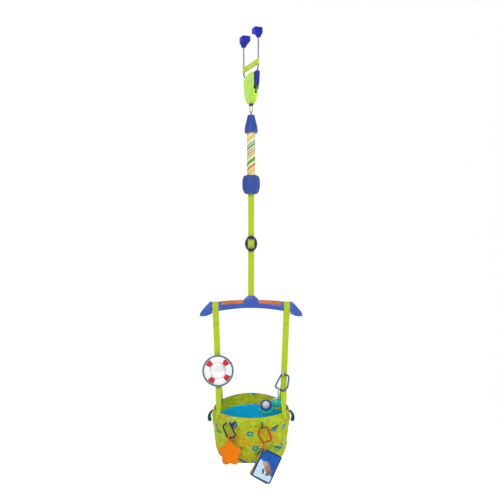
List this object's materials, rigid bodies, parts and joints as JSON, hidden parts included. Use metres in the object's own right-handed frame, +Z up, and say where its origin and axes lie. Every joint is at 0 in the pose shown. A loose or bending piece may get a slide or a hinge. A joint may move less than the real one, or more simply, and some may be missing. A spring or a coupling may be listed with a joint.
{
  "type": "baby doorway jumper",
  "caption": "Doorway jumper: a spring clamp holds a door head and hangs a sleeved spring, webbing strap, spreader bar and sling seat with leg holes, with small toys on the straps.",
  "frame": {"origin": "on the suspension axis at the height of the clamp pads, midway between their faces", "axes": "+Z up, +Y through the wall from the front pad towards the rear pad, +X to the right"},
  "size_m": [0.3938, 0.2733, 1.8495],
  "materials": {
    "lime_plastic": "lime moulded plastic, soft gloss",
    "deep_blue_plastic": "deep blue moulded plastic",
    "blue_rubber": "soft deep blue rubber",
    "black_plastic": "black moulded plastic",
    "rod_steel": "plated steel rod",
    "spring_steel": "spring steel",
    "lime_webbing": "lime woven webbing",
    "cap_blue_plastic": "mid blue moulded plastic",
    "striped_fabric": "pale cotton with slanted stripes",
    "grey_plastic": "grey plastic plug",
    "navy_plastic": "navy moulded plastic",
    "bar_blue_plastic": "blue moulded plastic",
    "orange_rubber": "soft orange rubber",
    "print_fabric": "printed cotton",
    "blue_lining": "bright blue cotton lining",
    "green_ribbon": "dark green woven ribbon",
    "pale_ribbon": "pale woven ribbon",
    "white_plastic": "white moulded plastic",
    "red_plastic": "red moulded plastic",
    "teal_plastic": "dark teal moulded plastic",
    "mirror_film": "plastic mirror",
    "link_teal_plastic": "dark teal plastic link",
    "rattle_navy_plastic": "navy plastic",
    "rattle_teal_plastic": "teal plastic",
    "bead_plastic": "pale violet plastic",
    "orange_soft": "orange plush or ribbon",
    "red_link_plastic": "red plastic link",
    "card_blue_print": "blue printed padded card",
    "card_back_print": "olive printed padded card"
  },
  "bodies": {
    "clamp_housing": {"housing_left": "lime_plastic", "housing_right": "lime_plastic", "arm_pivot_pin": "rod_steel", "clamp_spring": "spring_steel", "rear_rod": "rod_steel", "rear_pad": "deep_blue_plastic", "rear_pad_face": "blue_rubber", "hanger_block": "black_plastic", "hanger_pin": "rod_steel", "safety_strap": "lime_webbing"},
    "front_arm": {"front_rod": "rod_steel", "front_pad": "deep_blue_plastic", "front_pad_face": "blue_rubber", "front_grip": "deep_blue_plastic", "grip_ferrule": "black_plastic"},
    "hanger_link": {"hanger_link": "rod_steel"},
    "swivel_eye": {"swivel_eye": "rod_steel"},
    "spring_top": {"spring_top_cap": "cap_blue_plastic", "spring_top_plug": "grey_plastic", "bounce_spring": "spring_steel", "spring_sleeve": "striped_fabric"},
    "spring_bottom": {"spring_bottom_cap": "cap_blue_plastic", "spring_bottom_plug": "grey_plastic", "strap_anchor_pin": "rod_steel", "main_strap": "lime_webbing"},
    "loop_foot": {"main_strap_bight": "lime_webbing"},
    "slide_buckle": {"slide_buckle": "navy_plastic", "main_strap_tail": "lime_webbing", "main_strap_lower": "lime_webbing"},
    "bar": {"bar_front_half": "bar_blue_plastic", "bar_back_half": "bar_blue_plastic", "bar_pin": "rod_steel", "orange_grip_left": "orange_rubber", "orange_grip_right": "orange_rubber"},
    "seat_hanger": {"strap_left": "lime_webbing", "strap_right": "lime_webbing", "seat_shell": "print_fabric", "seat_lining": "blue_lining", "side_loop_left": "green_ribbon", "side_loop_right": "green_ribbon", "star_tab": "pale_ribbon", "red_tab": "green_ribbon", "link_tab": "pale_ribbon"},
    "mirror": {"mirror_rim": "teal_plastic", "mirror_ring": "white_plastic", "mirror_red_plate": "red_plastic", "mirror_glass": "mirror_film", "mirror_back": "white_plastic"},
    "strap_link": {"strap_link": "link_teal_plastic"},
    "rattle": {"rattle_frame": "rattle_navy_plastic", "rattle_dome": "rattle_teal_plastic", "rattle_ribbon": "pale_ribbon"},
    "rattle_bead": {"rattle_bead": "bead_plastic"},
    "star_link": {"star_link": "navy_plastic"},
    "star": {"star_toy": "orange_soft", "star_loop": "orange_soft"},
    "red_link": {"red_link": "red_link_plastic", "card_ribbon": "orange_soft"},
    "card_front": {"card_front": "card_blue_print"},
    "card_back": {"card_back": "card_back_print"}
  },
  "joints": [
    {"name": "clamp_open", "type": "hinge", "parent": "clamp_housing", "child": "front_arm", "pos_m": [0, -0.036, -0.25], "axis": [1, 0, 0], "range_deg": [-6, 12], "stiffness_Nm_per_rad": 6, "deforming": ["safety_strap"]},
    {"name": "link_swing", "type": "hinge", "parent": "clamp_housing", "child": "hanger_link", "pos_m": [0, 0, -0.291], "axis": [0, 1, 0], "range_deg": [-25, 25]},
    {"name": "eye_swing", "type": "hinge", "parent": "hanger_link", "child": "swivel_eye", "pos_m": [0, 0, -0.3232], "axis": [1, 0, 0], "range_deg": [-25, 25]},
    {"name": "swivel", "type": "hinge", "parent": "swivel_eye", "child": "spring_top", "pos_m": [0, 0, -0.334], "axis": [0, 0, 1], "continuous": true},
    {"name": "bounce", "type": "slide", "parent": "spring_top", "child": "spring_bottom", "axis": [0, 0, -1], "range_m": [0, 0.12], "stiffness_N_per_m": 900, "springref_m": -0.045, "deforming": ["bounce_spring", "spring_sleeve"]},
    {"name": "height_adjust", "type": "slide", "parent": "spring_bottom", "child": "slide_buckle", "axis": [0, 0, 1], "range_m": [-0.1, 0.12], "deforming": ["main_strap"]},
    {"name": "loop_slide", "type": "slide", "parent": "slide_buckle", "child": "loop_foot", "axis": [0, 0, 1], "range_m": [-0.06, 0.05], "deforming": ["main_strap_tail", "main_strap_lower"]},
    {"name": "bar_tip", "type": "hinge", "parent": "loop_foot", "child": "bar", "pos_m": [0, 0, -1.112], "axis": [0.9232, -0.3843, 0], "range_deg": [-15, 15]},
    {"name": "seat_swing", "type": "hinge", "parent": "bar", "child": "seat_hanger", "pos_m": [0, 0, -1.1315], "axis": [0.9232, -0.3843, 0], "range_deg": [-15, 15]},
    {"name": "mirror_slide", "type": "slide", "parent": "seat_hanger", "child": "mirror", "axis": [-0.0403, 0.0168, 0.999], "range_m": [0, 0.12]},
    {"name": "strap_link_swing", "type": "hinge", "parent": "seat_hanger", "child": "strap_link", "pos_m": [0.11554, -0.05698, -1.40719], "axis": [-0.9232, 0.3843, 0], "range_deg": [0, 10]},
    {"name": "rattle_swing", "type": "hinge", "parent": "strap_link", "child": "rattle", "pos_m": [0.09512, -0.05845, -1.46472], "axis": [0.3843, 0.9232, 0], "range_deg": [0, 15]},
    {"name": "bead_spin", "type": "hinge", "parent": "rattle", "child": "rattle_bead", "pos_m": [0.05309, -0.0286, -1.53], "axis": [0.9232, -0.3843, 0], "continuous": true},
    {"name": "star_link_swing", "type": "hinge", "parent": "seat_hanger", "child": "star_link", "pos_m": [-0.12431, -0.06592, -1.59293], "axis": [-0.6912, 0.7227, 0], "range_deg": [0, 35]},
    {"name": "star_swing", "type": "hinge", "parent": "star_link", "child": "star", "pos_m": [-0.1217, -0.06865, -1.65352], "axis": [-0.6912, 0.7227, 0], "range_deg": [0, 30]},
    {"name": "red_link_swing", "type": "hinge", "parent": "seat_hanger", "child": "red_link", "pos_m": [-0.00763, -0.13152, -1.60854], "axis": [-0.9908, 0.1353, 0], "range_deg": [0, 35]},
    {"name": "card_turn", "type": "hinge", "parent": "red_link", "child": "card_front", "pos_m": [0.00169, -0.1328, -1.701], "axis": [-0.1353, -0.9908, 0], "range_deg": [-20, 20]},
    {"name": "card_fan", "type": "hinge", "parent": "card_front", "child": "card_back", "pos_m": [0.00169, -0.1328, -1.701], "axis": [-0.1353, -0.9908, 0], "range_deg": [-20, 20]}
  ],
  "couplings": [
    {"joint": "loop_slide", "follows": "height_adjust", "ratio": -0.5}
  ]
}
